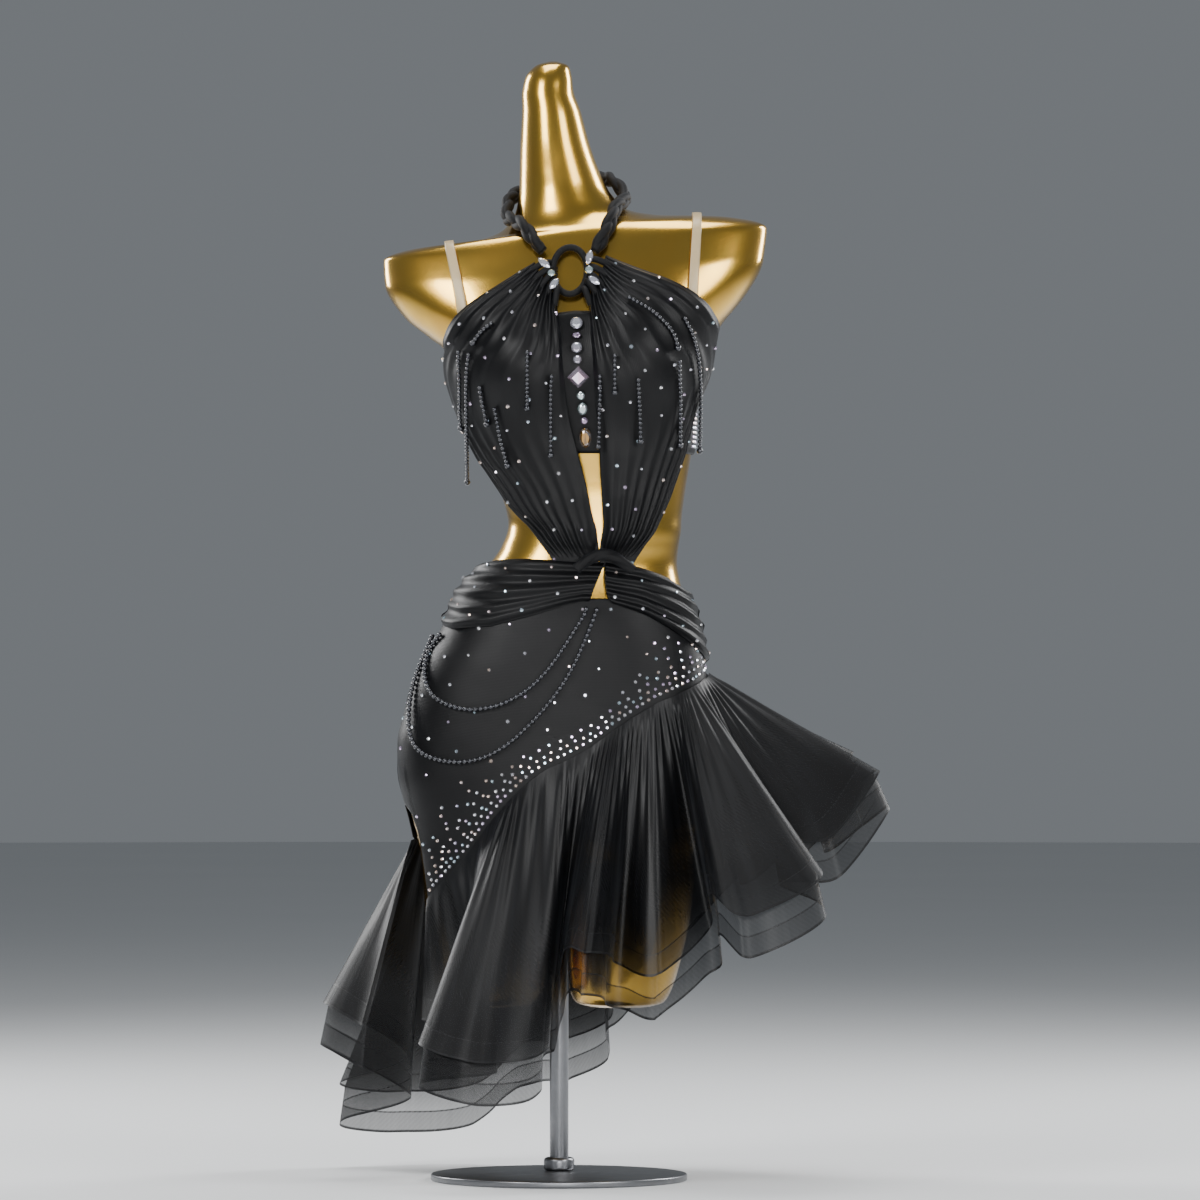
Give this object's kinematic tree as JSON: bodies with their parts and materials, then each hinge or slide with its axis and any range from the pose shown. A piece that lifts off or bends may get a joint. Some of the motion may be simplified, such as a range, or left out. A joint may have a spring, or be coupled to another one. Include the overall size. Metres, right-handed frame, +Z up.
{
  "type": "salsa dance dress on a limbless display form",
  "caption": "Black halter dance dress with gathered bodice, crystal centre, hip sash and slanting sheer organza flounces, standing on a glossy gold headless display form.",
  "frame": {"origin": "middle of the base plate's underside, on the floor", "axes": "+Z up, the front of the dress faces -Y, the wearer's right side is at -X"},
  "size_m": [0.6656, 0.5656, 1.308],
  "materials": {
    "form_gold": "mirror-smooth metallic gold lacquer on the glass-fibre form",
    "stand_steel": "satin grey",
    "jersey": "black stretch jersey, gathered, with small flat-back crystals",
    "jersey_braid": "black jersey cord, braided",
    "jersey_ring": "black jersey bound over a ring",
    "jersey_bra": "black jersey over a moulded cup",
    "jersey_sash": "black stretch jersey in fanned folds, with small flat-back crystals",
    "jersey_yoke": "black stretch jersey, close fitting, crystals graded towards the seam",
    "organza": "sheer black organza with stiff horsehair braid at the hem",
    "jet_beads": "polished jet-black beads",
    "clear_strap": "clear to ivory stretch strap",
    "stone_clear": "faceted, foil-backed",
    "stone_rose": "faceted, foil-backed, pale rose with a colour play",
    "stone_green": "faceted, foil-backed, pale green",
    "stone_violet": "faceted, foil-backed, violet",
    "stone_amber": "faceted, foil-backed, amber"
  },
  "bodies": {
    "root": {"form_torso": "form_gold", "stand_pole": "stand_steel", "stand_base": "stand_steel", "halter_braid": "jersey_braid", "halter_ring": "jersey_ring", "bodice_panel_left": "jersey", "bodice_panel_right": "jersey", "bra_band": "jersey_bra", "clear_strap_left": "clear_strap", "clear_strap_right": "clear_strap", "sash_left": "jersey_sash", "sash_right": "jersey_sash", "sash_back": "jersey_sash", "waist_twist": "jersey_sash", "yoke_front": "jersey_yoke", "yoke_back": "jersey_yoke", "flounce_front_upper": "organza", "flounce_front_under": "organza", "flounce_back_upper": "organza", "flounce_back_under": "organza", "swag_upper": "jet_beads", "swag_lower": "jet_beads", "fringe_01": "jet_beads", "fringe_02": "jet_beads", "fringe_03": "jet_beads", "fringe_04": "jet_beads", "fringe_05": "jet_beads", "fringe_06": "jet_beads", "fringe_07": "jet_beads", "fringe_08": "jet_beads", "fringe_09": "jet_beads", "fringe_10": "jet_beads", "fringe_11": "jet_beads", "fringe_12": "jet_beads", "fringe_13": "jet_beads", "stone_centre_1": "stone_clear", "stone_centre_2": "stone_violet", "stone_centre_3": "stone_clear", "stone_centre_4": "stone_clear", "stone_centre_5": "stone_rose", "stone_centre_6": "stone_green", "stone_centre_7": "stone_green", "stone_centre_8": "stone_violet", "stone_centre_9": "stone_amber", "stone_ring_left_1": "stone_clear", "stone_ring_left_2": "stone_green", "stone_ring_left_3": "stone_clear", "stone_ring_right_1": "stone_clear", "stone_ring_right_2": "stone_green", "stone_ring_right_3": "stone_clear"}
  },
  "joints": []
}
